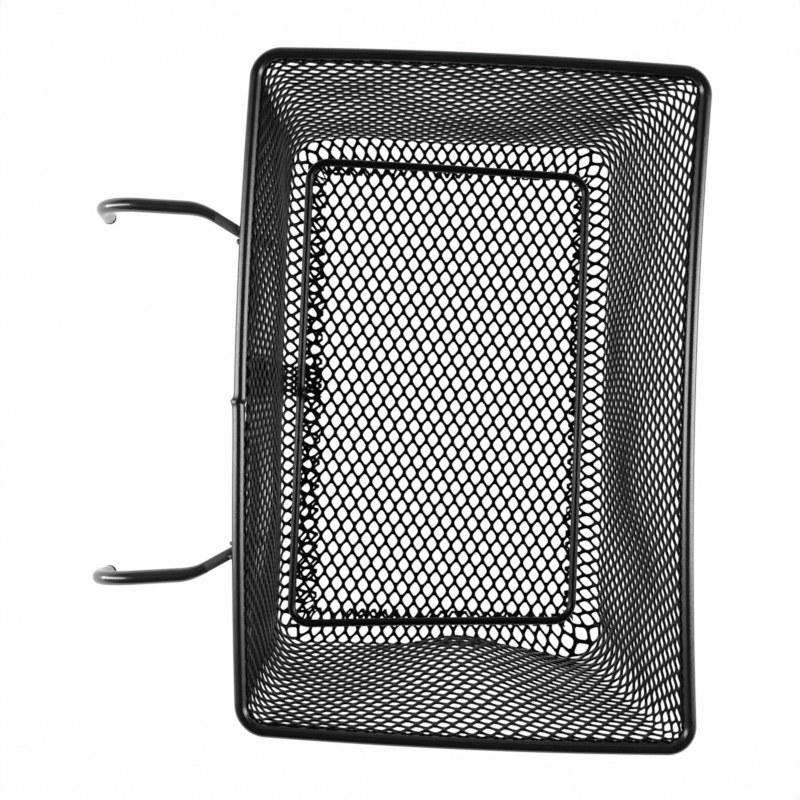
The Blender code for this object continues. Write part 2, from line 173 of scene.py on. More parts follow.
@dataclass(frozen=True)
class BasketPlan:
    """The outlines that all pieces share, with the places where they are out of true."""

    rim_width: float = 0.232
    rim_length: float = 0.345
    rim_tube_radius: float = 0.00329
    rim_height: float = 0.190
    rim_back_bow: float = 0.0051
    rim_front_dish: float = 0.0053
    rim_end_bow: float = 0.0024
    rim_lean: float = 0.0023
    wall_inset: float = 0.0024
    wall_top: float = 0.18795
    wall_flare: float = 0.4
    wall_limit: float = 1.1
    flange_width: float = 0.0221
    flange_corner: float = 0.004
    flange_middle: float = 0.0018
    ring_wire_radius: float = 0.0025
    ring_middle: float = 0.0051
    ring_back_lean: float = 0.0025
    ring_front_lean: float = 0.0013
    ring_taper: float = 0.0031
    ring_end_bow: float = 0.0006
    ring_shift: float = -0.00115
    rim_axis: Outline = Outline(0.1127, 0.1692, 0.0117, 0.0106)
    crease: Outline = Outline(0.100, 0.1565, 0.018)
    ring_axis: Outline = Outline(0.08675, 0.1411, 0.012, -0.00215)

    @property
    def wall_top_line(self) -> Outline:
        """The wall's upper edge, just inside the rim tube's axis."""
        return self.rim_axis.inset(self.wall_inset)

    @property
    def flange_edge(self) -> Outline:
        """The flange's mean inner edge."""
        return self.crease.inset(self.flange_width, self.flange_corner)

    @property
    def stops(self) -> np.ndarray:
        """Stops shared by the crease and the rim, so that equal shares lie above each other."""
        return (self.crease.stops() + self.wall_top_line.stops()) / 2

    @property
    def wall_height(self) -> float:
        """The wall's height over the flange's middle."""
        return self.wall_top - self.flange_middle

    def spread(self, height: np.ndarray, flare: np.ndarray | float) -> np.ndarray:
        """Return one less the flare, times the height, plus the flare times its fourth power."""
        return (1 - flare) * height + flare * np.clip(height, 0, self.wall_limit) ** 4

    def rim_bent(self, points: np.ndarray) -> np.ndarray:
        """Bow the rim's plan: the back outward, the front inward, the ends outward.

        The long sides move towards the bicycle by a parabola that vanishes at
        the corners, and the ends lean out of square in proportion to X.

        Args:
            points: X and Y of a true rounded rectangle.

        Returns:
            The same points on the real, slightly bent rim.
        """
        across = (points[..., 0] - self.rim_axis.forward) / (self.rim_width / 2)
        along = points[..., 1] / (self.rim_length / 2)
        bow = self.rim_back_bow * (1 - across) / 2 + self.rim_front_dish * (1 + across) / 2
        x = points[..., 0] - bow * (1 - along**2)
        y = points[..., 1] + self.rim_end_bow * along * (1 - across**2) - self.rim_lean * across
        return np.stack([x, y], axis=-1)

    def ring_bent(self, points: np.ndarray) -> np.ndarray:
        """Lean the ring's long sides, bow its ends to the left, narrow its front and shift it.

        X grows in proportion to Y, more at the back than at the front. Y grows
        by a parabola over X and shrinks in proportion to X times Y.

        Args:
            points: X and Y of a true rounded rectangle.

        Returns:
            The same points on the real, slightly bent ring.
        """
        across = (points[..., 0] - self.ring_axis.forward) / self.ring_axis.half_x
        along = points[..., 1] / self.ring_axis.half_y
        lean = self.ring_back_lean * (1 - across) / 2 + self.ring_front_lean * (1 + across) / 2
        bow = self.ring_end_bow * (1 - across**2)
        x = points[..., 0] + lean * along
        y = points[..., 1] + self.ring_shift + bow - self.ring_taper * along * across
        return np.stack([x, y], axis=-1)


# Curves and paths


def unit(vectors: np.ndarray) -> np.ndarray:
    """Return the vectors at length one."""
    return vectors / np.linalg.norm(vectors, axis=-1, keepdims=True)


def smooth(value: np.ndarray) -> np.ndarray:
    """Return the square of the value, held between 0 and 1, times three less twice itself."""
    step = np.clip(value, 0, 1)
    return step * step * (3 - 2 * step)


def bell(value: np.ndarray) -> np.ndarray:
    """Return e to the power of minus the value's square."""
    return np.exp(-(value**2))


def at_height(plane: np.ndarray, height: float) -> np.ndarray:
    """Return rows of X and Y with one Z beside them all."""
    return np.column_stack([plane, np.full(len(plane), height)])


def run_lengths(path: np.ndarray) -> np.ndarray:
    """Return the length of the path up to each of its points."""
    return np.concatenate([[0.0], np.cumsum(np.linalg.norm(np.diff(path, axis=0), axis=1))])


def along_path(path: np.ndarray, stations: np.ndarray) -> np.ndarray:
    """Return the points of the path at these lengths along it."""
    length = run_lengths(path)
    return np.stack([np.interp(stations, length, path[:, axis]) for axis in range(3)], axis=-1)


# Mesh making


def move_points(mesh: Mesh, points: np.ndarray) -> None:
    """Set the mesh's vertices from rows of X, Y, Z."""
    mesh.vertices.foreach_set("co", np.ascontiguousarray(points, np.float32).ravel())


def mesh_points(mesh: Mesh) -> np.ndarray:
    """Read a mesh's vertices.

    Args:
        mesh: the mesh.

    Returns:
        Rows of X, Y, Z.
    """
    flat = np.empty(len(mesh.vertices) * 3, np.float32)
    mesh.vertices.foreach_get("co", flat)
    return flat.reshape(-1, 3).astype(float)


def flat_mesh(name: str, points: np.ndarray, quads: np.ndarray, triangles: np.ndarray) -> Mesh:
    """Make a mesh from arrays of points, four-sided faces and three-sided faces.

    Args:
        name: the mesh's name.
        points: one row of X, Y, Z for each vertex.
        quads: vertex numbers, four to a row.
        triangles: vertex numbers, three to a row.

    Returns:
        The mesh, shaded smooth.
    """
    mesh = bpy.data.meshes.new(name)
    mesh.vertices.add(len(points))
    move_points(mesh, points)
    corners = np.concatenate([quads.ravel(), triangles.ravel()]).astype(np.int32)
    mesh.loops.add(len(corners))
    mesh.loops.foreach_set("vertex_index", corners)
    sizes = np.concatenate([np.full(len(quads), 4), np.full(len(triangles), 3)])
    starts = np.concatenate([[0], np.cumsum(sizes)[:-1]]).astype(np.int32)
    mesh.polygons.add(len(sizes))
    mesh.polygons.foreach_set("loop_start", starts)
    mesh.update(calc_edges=True)
    mesh.shade_smooth()
    return mesh


def ring_mesh(name: str, rings: np.ndarray, closed: bool) -> Mesh:
    """Join rings of points into a closed skin.

    Args:
        name: the mesh's name.
        rings: points by ring and by place on the ring.
        closed: whether the last ring joins the first; if not, each end gets a pole
            in the middle of its ring.

    Returns:
        The mesh, its faces outward where the rings turn left round the path.
    """
    count, around = rings.shape[:2]
    number = np.arange(count * around).reshape(count, around)
    lower = number if closed else number[:-1]
    upper = np.roll(number, -1, axis=0) if closed else number[1:]
    corners = [lower, np.roll(lower, -1, axis=1), np.roll(upper, -1, axis=1), upper]
    quads = np.stack(corners, axis=-1).reshape(-1, 4)
    points = rings.reshape(-1, 3)
    if closed:
        return flat_mesh(name, points, quads, NO_TRIANGLES)
    first, last = number[0], number[-1]
    start = np.full(around, count * around)
    start_fan = np.stack([start, np.roll(first, -1), first], axis=-1)
    end_fan = np.stack([start + 1, last, np.roll(last, -1)], axis=-1)
    points = np.concatenate([points, rings[[0, -1]].mean(axis=1)])
    return flat_mesh(name, points, quads, np.concatenate([start_fan, end_fan]))


def shade_sheet(mesh: Mesh, points: np.ndarray) -> None:
    """Give a sheet its last points and shade it smooth but for its sheared edges.

    Args:
        mesh: the sheet, changed in place.
        points: one row of X, Y, Z for each vertex.
    """
    move_points(mesh, points)
    mesh.update()
    mesh.shade_smooth()
    mesh.set_sharp_from_angle(angle=SHARP_ANGLE)


def stand(name: str, data: ID) -> Object:
    """Put a new object into the scene at the origin.

    Args:
        name: the object's name.
        data: its mesh, lamp or camera.

    Returns:
        The object.
    """
    obj = bpy.data.objects.new(name, data)
    bpy.context.scene.collection.objects.link(obj)
    return obj


def place(name: str, mesh: Mesh, dress: Material, slot: str, *nodes: str) -> Object:
    """Put a finished mesh into the scene as a piece that rides on the basket.

    Args:
        name: the piece's name.
        mesh: its mesh, in the basket's own frame.
        dress: its material.
        slot: a material slot's name; not used.
        nodes: the CAD nodes that it stands for.

    Returns:
        The object, at the origin.
    """
    obj = stand(name, mesh)
    mesh.materials.append(dress)
    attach(obj, "root")
    if nodes:
        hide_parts(*nodes)
    log.info("%s: %d faces", name, len(mesh.polygons))
    return obj


@dataclass
class Sweep:
    """A round bar carried along a path.

    A point is the path's point plus the radius times the cosine of the angle
    along the first cross direction and its sine along the second. The cross
    directions come from the bar's direction and one steady direction.
    """

    path: np.ndarray
    radius: np.ndarray | float
    steady: Triple = (0.0, 0.0, 1.0)
    around: int = 24
    closed: bool = False
    dent: Callable[[np.ndarray, np.ndarray], np.ndarray] | None = None
    along: np.ndarray | None = None

    def tangents(self) -> np.ndarray:
        """The bar's directions: those given, or else from each point's two neighbours.

        Returns:
            A unit vector for each point of the path.
        """
        if self.along is not None:
            return self.along
        if self.closed:
            return unit(np.roll(self.path, -1, axis=0) - np.roll(self.path, 1, axis=0))
        return unit(np.gradient(self.path, axis=0))

    def rings(self) -> np.ndarray:
        """The bar's points, with what the dent adds to the radius.

        Returns:
            X, Y and Z by station and angle.
        """
        tangent = self.tangents()
        side = unit(np.cross(np.array(self.steady), tangent))
        rise = np.cross(tangent, side)
        angle = np.linspace(0, 2 * math.pi, self.around, endpoint=False)[None, :, None]
        outward = np.cos(angle) * side[:, None] + np.sin(angle) * rise[:, None]
        radius = np.broadcast_to(np.reshape(self.radius, (-1, 1)), outward.shape[:2])
        points = self.path[:, None] + outward * radius[..., None]
        if self.dent is not None:
            points = points + outward * self.dent(points, outward)[..., None]
        return points

    def mesh(self, name: str) -> Mesh:
        """Return the bar as a closed mesh; an open path's ends close on a pole."""
        return ring_mesh(name, self.rings(), self.closed)


# Expanded metal


@dataclass(frozen=True)
class ExpandedMetal:
    """The sheet's own pattern: diamonds between bonds, in half pitches.

    A hole sits where column and row add up to an odd number and a bond where
    they add up to an even one. One cell is the diamond between four bonds, with
    the hole's rounded outline in its middle. A quarter of that outline has
    three points: beside the bond, in the middle of the strand and beside the
    hole's long point.
    """

    half_short: float = 0.004085
    half_long: float = 0.007235
    thickness: float = 0.0008
    edge: float = 0.00022
    lift: float = 0.00008
    hole_quarter: tuple[Pair, ...] = ((0.00297, 0.00066), (0.00204, 0.00225), (0.00053, 0.00408))
    inside_border: float = 0.99

    @property
    def half(self) -> np.ndarray:
        """The half pitches along X and Y."""
        return np.array([self.half_short, self.half_long])

    def hole(self) -> np.ndarray:
        """The hole's outline: a quarter, its mirror image, and both turned by half a turn.

        Returns:
            Twelve points about the hole's centre, anticlockwise.
        """
        quarter = np.array(self.hole_quarter)
        half = np.concatenate([quarter, quarter[::-1] * [-1, 1]])
        return np.concatenate([half, -half])

    def cell(self) -> tuple[np.ndarray, np.ndarray, np.ndarray]:
        """Points, quads and triangles of one diamond about its hole's centre.

        The rings are, from the top: the border, the hole's edge widened by the
        edge's rounding, the hole just below the rounding, and the same again
        for the underside.

        Returns:
            Points in metres, four-sided faces and three-sided faces.
        """
        hole = self.hole()
        ahead = np.roll(hole, -1, axis=0) - np.roll(hole, 1, axis=0)
        outward = unit(np.stack([ahead[:, 1], -ahead[:, 0]], axis=-1))
        wide = hole + outward * self.edge
        tips = np.array([[1, 0], [0, 1], [-1, 0], [0, -1]]) * self.half
        border = np.stack([tips, (tips + np.roll(tips, -1, axis=0)) / 2], axis=1).reshape(-1, 2)
        top = self.thickness / 2
        below = top - self.edge
        levels = [(border, top), (wide, top), (hole, below), (hole, -below), (wide, -top), (border, -top)]
        points = np.concatenate([at_height(ring, z) for ring, z in levels])
        top_quads, top_triangles = self.annulus(0, len(border))
        last = 2 * len(border) + 4 * len(hole)
        low_quads, low_triangles = self.annulus(last - len(border), last - len(border) - len(hole))
        ring = np.arange(len(hole))
        next_on = np.roll(ring, -1)
        band = len(border) + np.stack([ring, next_on, next_on + len(hole), ring + len(hole)], axis=-1)
        walls = [band + level * len(hole) for level in range(3)]
        quads = np.concatenate([top_quads, low_quads[:, ::-1], *walls])
        return points, quads, np.concatenate([top_triangles, low_triangles[:, ::-1]])

    @staticmethod
    def annulus(border: int, ring: int) -> tuple[np.ndarray, np.ndarray]:
        """Faces between the eight border points and the twelve of the hole's edge.

        Args:
            border: number of the first border point.
            ring: number of the first point of the hole's edge.

        Returns:
            Eight quads, two in each quarter, and the four triangles at the bonds.
        """
        quads, triangles = [], []
        for quarter in range(4):
            corner, middle, after = (border + (2 * quarter + step) % 8 for step in range(3))
            first, second, third = (ring + 3 * quarter + step for step in range(3))
            quads.append([corner, middle, second, first])
            quads.append([middle, after, third, second])
            triangles.append([corner, first, ring + (3 * quarter - 1) % 12])
        return np.array(quads), np.array(triangles)

    def sheet(
        self,
        name: str,
        columns: tuple[int, int],
        rows: tuple[int, int],
        opened: Callable[[np.ndarray], np.ndarray] | None = None,
    ) -> Mesh:
        """Lay cells side by side over a block of the lattice, with shared points merged.

        X is the column times half the short pitch, Y the row times half the
        long one. The whole sheet is lifted by the sine of pi times the column
        and the cosine of pi times the row, which tilts every bond the same way.

        Args:
            name: the mesh's name.
            columns: first and last column of hole centres.
            rows: first and last row of hole centres.
            opened: from the rows of the holes, their sizes as shares of the pattern's.

        Returns:
            The flat sheet, open along its border.
        """
        cell, quads, triangles = self.cell()
        in_hole = np.sum(np.abs(cell[:, :2]) / self.half, axis=1) < self.inside_border
        column, row = np.meshgrid(np.arange(columns[0], columns[1] + 1), np.arange(rows[0], rows[1] + 1))
        centres = np.stack([column, row], axis=-1)[(column + row) % 2 == 1]
        size = np.ones(len(centres)) if opened is None else opened(centres[:, 1])
        shrink = 1 + (size[:, None] - 1) * in_hole
        points = np.repeat(cell[None], len(centres), axis=0)
        points[..., :2] = points[..., :2] * shrink[..., None] + (centres * self.half)[:, None]
        flat = points.reshape(-1, 3)
        keys = np.round(flat / MERGE_STEP).astype(np.int64)
        keys -= keys.min(axis=0)
        code = (keys[:, 0] * (keys[:, 1].max() + 1) + keys[:, 1]) * (keys[:, 2].max() + 1) + keys[:, 2]
        _, kept, merged = np.unique(code, return_index=True, return_inverse=True)
        flat = flat[kept]
        turn = math.pi * flat[:, :2] / self.half
        flat[:, 2] += self.lift * np.sin(turn[:, 0]) * np.cos(turn[:, 1])
        step = np.arange(len(centres))[:, None, None] * len(cell)
        all_quads = merged[(quads[None] + step).reshape(-1, 4)]
        all_triangles = merged[(triangles[None] + step).reshape(-1, 3)]
        return flat_mesh(name, flat, all_quads, all_triangles)


def cut_straight(mesh: Mesh, cuts: Sequence[Cut]) -> None:
    """Shear a flat sheet along straight lines and close the cut strands.

    Args:
        mesh: the sheet, changed in place.
        cuts: for each line a point on it and its outward direction, both in X and Y.
    """
    sheet = bmesh.new()
    sheet.from_mesh(mesh)
    for point, outward in cuts:
        cut = bmesh.ops.bisect_plane(
            sheet,
            geom=sheet.verts[:] + sheet.edges[:] + sheet.faces[:],
            dist=CUT_TOLERANCE,
            plane_co=(*point, 0.0),
            plane_no=(*outward, 0.0),
            clear_outer=True,
        )
        edges = [item for item in cut["geom_cut"] if isinstance(item, bmesh.types.BMEdge)]
        bmesh.ops.holes_fill(sheet, edges=edges, sides=0)
    sheet.to_mesh(mesh)
    sheet.free()


# Walls


@dataclass(frozen=True)
class WallSwell:
    """A place where the wall stands out of its straight slope.

    The wall moves outward by the amount times a bell over the share round the
    basket, times one or two half waves over the height. The height is first
    raised to the power of the lift, which carries the wave's crest upward.
    """

    share: float
    reach: float
    amount: float
    half_waves: float = 1.0
    lift: float = 1.0

    def shape(self, height: np.ndarray) -> np.ndarray:
        """Return the half waves over the height."""
        return np.sin(math.pi * self.half_waves * np.clip(height, 0, 1) ** self.lift)

    def move(self, share: np.ndarray, height: np.ndarray) -> np.ndarray:
        """Return the amount times a bell over the share, times the shape over the height."""
        apart = (share - self.share + 0.5) % 1.0 - 0.5
        return self.amount * bell(apart / self.reach) * self.shape(height)


@dataclass(frozen=True)
class FootDent(WallSwell):
    """A dent low in the wall, whose ridge stands a little above the floor."""

    ridge: float = 0.13

    def shape(self, height: np.ndarray) -> np.ndarray:
        """Return one less the height's square, times a smooth step from the floor to the ridge."""
        return (1 - np.clip(height, 0, 1) ** 2) * smooth(height / self.ridge)


@dataclass(frozen=True)
class FootPouch(WallSwell):
    """A place where the crease itself stands out, together with the foot of the wall."""

    def shape(self, height: np.ndarray) -> np.ndarray:
        """Return one less the height, cubed."""
        return (1 - np.clip(height, 0, 1)) ** 3


@dataclass(frozen=True)
class WallBelly(WallSwell):
    """A wall that stands in or out round one height, as the back wall does."""

    crest: float = 0.43
    spread: float = 0.26
    foot: float = 0.1

    def shape(self, height: np.ndarray) -> np.ndarray:
        """Return a bell over the height about the crest, brought to nought at the foot."""
        return np.clip(height / self.foot, 0, 1) * bell((height - self.crest) / self.spread)


@dataclass(frozen=True)
class Ripple:
    """One slow sine over the strip, in radians for each column and row."""

    amount: float
    by_column: float
    by_row: float = 0.0
    start: float = 0.0

    def at(self, column: np.ndarray, row: np.ndarray | float) -> np.ndarray:
        """Return the amount times the sine of the start plus both turns."""
        return self.amount * np.sin(self.by_column * column + self.by_row * row + self.start)


def rippled(ripples: Sequence[Ripple], column: np.ndarray, row: np.ndarray | float = 0.0) -> np.ndarray:
    """Return the sum of the ripples at these columns and rows."""
    return sum(ripple.at(column, row) for ripple in ripples)


@dataclass
class SideMesh:
    """The strip of expanded metal round the four walls, its foot turned in as a flange.

    Rows and columns are counted in half pitches. The ripples are the strip's
    hand-bent unevenness: they shift it along itself and across in half
    pitches, outward in metres, and make its cut edge wander in rows.
    """

    plan: BasketPlan
    metal: ExpandedMetal = ExpandedMetal(thickness=0.00122, edge=0.00028, lift=0.00030)
    round_columns: int = 245
    overlap_columns: int = 5
    overlap_fade: float = 6.0
    spare_columns: int = 2
    sheet_rows: tuple[int, int] = (-3, 33)
    crease_row: float = 3.05
    last_row: float = 30.15
    top_row: float = 30.6
    cut_row: float = 0.12
    wander_row: float = 2.0
    back_rows: float = 0.35
    seam_share: float = -0.0064
    layer_step: float = 0.00055
    fold: float = 0.0030
    back_fold: float = 0.0023
    rim_clear: float = 0.0037
    normal_step: float = 0.05
    opening_rows: tuple[float, ...] = (3.0, 6.0, 17.0, 30.0)
    openings: tuple[float, ...] = (0.98, 0.94, 0.985, 1.05)
    splits: tuple[int, int] = (84, 167)
    top_fade: float = 4.0
    foot_fade: float = 3.0
    ripples_along: tuple[Ripple, ...] = (Ripple(0.13, 0.21, 0.5), Ripple(0.09, 0.083, -0.37, 1.0))
    ripples_across: tuple[Ripple, ...] = (Ripple(0.10, 0.17, 0.0, 1.3), Ripple(0.06, 0.45, 0.6))
    ripples_out: tuple[Ripple, ...] = (Ripple(0.00035, 0.105, 0.31), Ripple(0.00025, 0.26, -0.42))
    ripples_cut: tuple[Ripple, ...] = (Ripple(0.12, 0.19), Ripple(0.08, 0.47, 0.0, 2.0), Ripple(0.05, 1.3))
    swells: tuple[WallSwell, ...] = (
        WallBelly(0.925, 0.070, -0.0042),
        WallBelly(0.065, 0.075, -0.0043),
        WallSwell(0.178, 0.026, 0.0035),
        WallSwell(0.25, 0.075, 0.0006),
        WallSwell(0.405, 0.035, 0.0050),
        WallSwell(0.470, 0.060, 0.0010, 2.0),
        WallSwell(0.530, 0.090, 0.0014, 1.0, 4.0),
        WallSwell(0.593, 0.035, 0.0022),
        WallSwell(0.690, 0.025, 0.0018),
        WallSwell(0.800, 0.030, 0.0018),
        FootDent(0.2605, 0.036, -0.0120),
        FootPouch(0.336, 0.022, 0.0060),
        FootPouch(0.595, 0.035, 0.0018),
        FootPouch(0.805, 0.035, 0.0028),
        FootPouch(0.852, 0.022, -0.0024),
        FootPouch(0.0, 0.120, 0.0011),
    )

    def wave(self, column: np.ndarray, row: np.ndarray) -> tuple[np.ndarray, np.ndarray, np.ndarray]:
        """Hand-bent unevenness, which fades across and outward at the foot and under the rim.

        Args:
            column: place along the strip in half pitches.
            row: place across the strip in half pitches.

        Returns:
            Shifts along the strip and across it in half pitches, and outward in metres.
        """
        at_top = np.clip((self.top_row - row) / self.top_fade, 0, 1)
        fade = at_top * np.clip((row - self.wander_row) / self.foot_fade, 0, 1)
        along = rippled(self.ripples_along, column, row)
        across = rippled(self.ripples_across, column, row)
        return along, across * fade, rippled(self.ripples_out, column, row) * fade

    def middle(self, column: np.ndarray, row: np.ndarray) -> np.ndarray:
        """Points of the strip's middle surface.

        The distance from the crease is split into an inward and an upward part
        by half of itself plus or minus half the root of its square and the
        fold's, which rounds the crease; the back's crease is rounder and a
        little further up the strip. The flange runs inward from the crease
        outline, the wall rises and spreads to the rim, straight at the ends
        and flared at the back and front, and the swells are added. Near the
        rim the strip is pushed inward until it clears the tube.

        Args:
            column: place along the strip in half pitches.
            row: place across the strip in half pitches.

        Returns:
            X, Y and Z by point.
        """
        plan, stops = self.plan, self.plan.stops
        shift_along, shift_across, out = self.wave(column, row)
        share = self.seam_share + (column + shift_along - self.overlap_columns / 2) / self.round_columns
        turn = outward_turn(share, stops)
        outward = np.stack([np.cos(turn), np.sin(turn)], axis=-1)
        back = np.clip(-outward[..., 0], 0, 1) ** 2
        crease_row = self.crease_row + self.back_rows * back
        past = row + shift_across - crease_row
        distance = np.where(
            past < 0,
            past / self.crease_row * plan.flange_width,
            past / (self.last_row - crease_row) * plan.wall_height,
        )
        rounding = np.sqrt(distance**2 + (self.fold + self.back_fold * back) ** 2)
        up = (distance + rounding) / 2
        inward = (rounding - distance) / 2 / plan.flange_width
        height = up / plan.wall_height
        crease = plan.crease.points(share, stops)
        edge = plan.flange_edge.points(share, stops)
        axis = plan.rim_bent(plan.rim_axis.points(share, stops))
        top = plan.rim_bent(plan.wall_top_line.points(share, stops))
        spread = plan.spread(height, plan.wall_flare * np.cos(turn) ** 2)
        swelling = sum(swell.move(share, height) for swell in self.swells)
        out = out + np.clip(1 - inward, 0, 1) * swelling
        plane = crease + (edge - crease) * inward[..., None] + (top - crease) * spread[..., None]
        plane = plane + outward * out[..., None]
        z = plan.flange_middle + up
        into = unit(top - axis)
        clear = np.sqrt(np.clip(self.rim_clear**2 - (z - plan.rim_height) ** 2, 0, None))
        short = np.clip(clear - np.sum((plane - axis) * into, axis=-1), 0, None)
        plane = plane + into * short[..., None]
        return np.concatenate([plane, z[..., None]], axis=-1)

    def layer(self, column: np.ndarray) -> np.ndarray:
        """Outward step of the overlap: the strip's start lies inside, its end outside.

        Args:
            column: place along the strip in half pitches.

        Returns:
            Metres, by a smooth step down from each end.
        """
        past_start = (column - self.overlap_columns) / self.overlap_fade
        before_end = (self.round_columns - column) / self.overlap_fade
        return self.layer_step * (smooth(1 - before_end) - smooth(1 - past_start))

    def folded(self, flat: np.ndarray) -> np.ndarray:
        """Carry the flat strip's points onto the walls.

        A point is the middle surface's point plus its height over the flat
        sheet along the surface's normal, which comes from small steps along
        the column and the row.

        Args:
            flat: points of the flat strip.

        Returns:
            The same points on the folded strip.
        """
        column, row = (flat[:, :2] / self.metal.half).T
        step = self.normal_step
        along = self.middle(column + step, row) - self.middle(column - step, row)
        across = self.middle(column, row + step) - self.middle(column, row - step)
        normal = unit(np.cross(along, across))
        return self.middle(column, row) + normal * (flat[:, 2] + self.layer(column))[:, None]

    def opening(self, row: np.ndarray) -> np.ndarray:
        """Return the size of the holes by row: the strands are widest at the foot of the wall."""
        return np.interp(row, self.opening_rows, self.openings)

    def build(self, dress: Material) -> list[Object]:
        """Make the strip in three lengths, each trimmed flat and then folded.

        Args:
            dress: the mesh's coat.

        Returns:
            The three pieces, which together stand for the side mesh.
        """
        short, tall = self.metal.half_short, self.metal.half_long
        bounds = [0, *self.splits, self.round_columns + self.overlap_columns]
        pieces = []
        for label, start, end in zip(("right", "front", "left"), bounds, bounds[1:]):
            name = f"side_mesh_{label}"
            columns = (start - self.spare_columns, end + self.spare_columns)
            mesh = self.metal.sheet(name, columns, self.sheet_rows, self.opening)
            cut_straight(mesh, [((0.0, self.top_row * tall), (0.0, 1.0))])
            flat = mesh_points(mesh)
            low = np.clip(self.wander_row - flat[:, 1] / tall, 0, 1)
            flat[:, 1] -= rippled(self.ripples_cut, flat[:, 0] / short) * tall * low
            move_points(mesh, flat)
            ends = [((start * short, 0.0), (-1.0, 0.0)), ((end * short, 0.0), (1.0, 0.0))]
            cut_straight(mesh, [*ends, ((0.0, self.cut_row * tall), (0.0, -1.0))])
            shade_sheet(mesh, self.folded(mesh_points(mesh)))
            pieces.append(place(name, mesh, dress, "mesh_coat", "side_mesh"))
        return pieces


@dataclass
class FloorPanel:
    """The flat panel of the same metal, sheared square and turned a little."""

    plan: BasketPlan
    metal: ExpandedMetal = ExpandedMetal()
    turn: float = math.radians(-3.0)
    overhang: float = 0.0015
    middle: float = 0.0005
    spare: float = 0.01

    def build(self, dress: Material) -> Object:
        """Lay the lattice with a bond at the origin, turn it, shear its four edges.

        The long edges are sheared along the ring's leaning sides.

        Args:
            dress: the mesh's coat.

        Returns:
            The panel, which stands for the floor mesh.
        """
        plan, ring = self.plan, self.plan.ring_axis
        half_x, half_y = ring.half_x + self.overhang, ring.half_y + self.overhang
        cosine, sine = math.cos(self.turn), math.sin(self.turn)
        columns = math.ceil((half_x + half_y * abs(sine) + self.spare) / self.metal.half_short)
        rows = math.ceil((half_y + half_x * abs(sine) + self.spare) / self.metal.half_long)
        mesh = self.metal.sheet("floor_panel", (-columns, columns), (-rows, rows))
        x, y, z = mesh_points(mesh).T
        move_points(mesh, np.column_stack([x * cosine - y * sine, x * sine + y * cosine, z]))
        cuts = [
            ((ring.forward + half_x, 0.0), (1.0, -plan.ring_front_lean / ring.half_y)),
            ((ring.forward - half_x, 0.0), (-1.0, plan.ring_back_lean / ring.half_y)),
            ((0.0, plan.ring_shift + half_y), (0.0, 1.0)),
            ((0.0, plan.ring_shift - half_y), (0.0, -1.0)),
        ]
        cut_straight(mesh, cuts)
        shade_sheet(mesh, mesh_points(mesh) + [0.0, 0.0, self.middle])
        return place("floor_panel", mesh, dress, "mesh_coat", "floor_mesh")


# Rim and ring


@dataclass(frozen=True)
class Bead:
    """A weld bead: a swelling of a bar about a point, more on one side."""

    at: Triple
    reach: float
    all_round: float
    outward: float = 0.0
    side: Triple = (-1.0, 0.0, 0.0)
    wider: float = 1.8
    near_x: float = 0.02
    lobe_power: float = 1.5

    def swelling(self, points: np.ndarray, outward: np.ndarray) -> np.ndarray:
        """Extra radius: a bell over the distance along Y, on top a lobe towards the side.

        Args:
            points: points on the bar.
            outward: outward direction at each.

        Returns:
            Metres to add along the outward direction.
        """
        apart = (points[..., 1] - self.at[1]) / self.reach
        near = np.abs(points[..., 0] - self.at[0]) < self.near_x
        lobe = np.clip(np.sum(outward * np.array(self.side), axis=-1), 0, 1) ** self.lobe_power
        return near * (self.all_round * bell(apart) + self.outward * lobe * bell(apart / self.wider))


@dataclass
class Rim:
    """The rim tube, butt-welded in the middle of the back side."""

    plan: BasketPlan
    bead: Bead = Bead((-0.1078, -0.0025, 0.190), 0.0012, 0.0, 0.0009)
    steps: tuple[int, int] = (90, 16)
    weld_steps: Span = (-0.009, 0.014, 40)
    right_end_out: float = 0.0007
    left_end_in: float = 0.0003
    end_fade: float = 0.012
    butt_width: float = 0.0006

    def build(self, dress: Material) -> Object:
        """Sweep the tube round the bent outline, with its weld.

        The tube's two ends don't meet quite in line: each stands off by its
        own distance times an exponential fade along Y.

        Args:
            dress: the rim's coat.

        Returns:
            The tube, which stands for the rim's CAD node.
        """
        plan = self.plan
        shares = walk(plan.stops, *self.steps, self.weld_steps)
        plane = plan.rim_bent(plan.rim_axis.points(shares, plan.stops))
        past = plane[:, 1] - self.bead.at[1]
        offset = np.where(past < 0, -self.right_end_out, self.left_end_in)
        fade = np.clip(np.abs(past) / self.butt_width, 0, 1) * np.exp(-np.abs(past) / self.end_fade)
        plane[:, 0] += offset * fade * (plane[:, 0] < 0)
        path = at_height(plane, plan.rim_height)
        bar = Sweep(path, plan.rim_tube_radius, closed=True, dent=self.bead.swelling)
        return place("rim", bar.mesh("rim"), dress, "rim_coat", "rim_tube")


@dataclass
class FloorRing:
    """The wire ring on the flange, with the blob of its own butt weld."""

    plan: BasketPlan
    bead: Bead = Bead((-0.0904, -0.0010, 0.0051), 0.0022, 0.0006, 0.0006, (1.0, 0.0, 0.0))
    steps: tuple[int, int] = (80, 14)
    weld_steps: Span = (-0.008, 0.012, 24)

    def build(self, dress: Material) -> Object:
        """Sweep the wire round the ring's bent outline.

        Args:
            dress: the ring's coat.

        Returns:
            The ring, which stands for its CAD node.
        """
        plan = self.plan
        stops = plan.ring_axis.stops()
        shares = walk(stops, *self.steps, self.weld_steps)
        path = at_height(plan.ring_bent(plan.ring_axis.points(shares, stops)), plan.ring_middle)
        bar = Sweep(path, plan.ring_wire_radius, around=20, closed=True, dent=self.bead.swelling)
        return place("ring", bar.mesh("ring"), dress, "ring_coat", "floor_ring")


# Hooks


@dataclass(frozen=True)
class HookPlace:
    """How far a hook's points stand from the basket's middle, and how its tip leans."""

    foot: float
    root: float
    bend: float
    end: float
    tip_back: float
    tip_inward: float


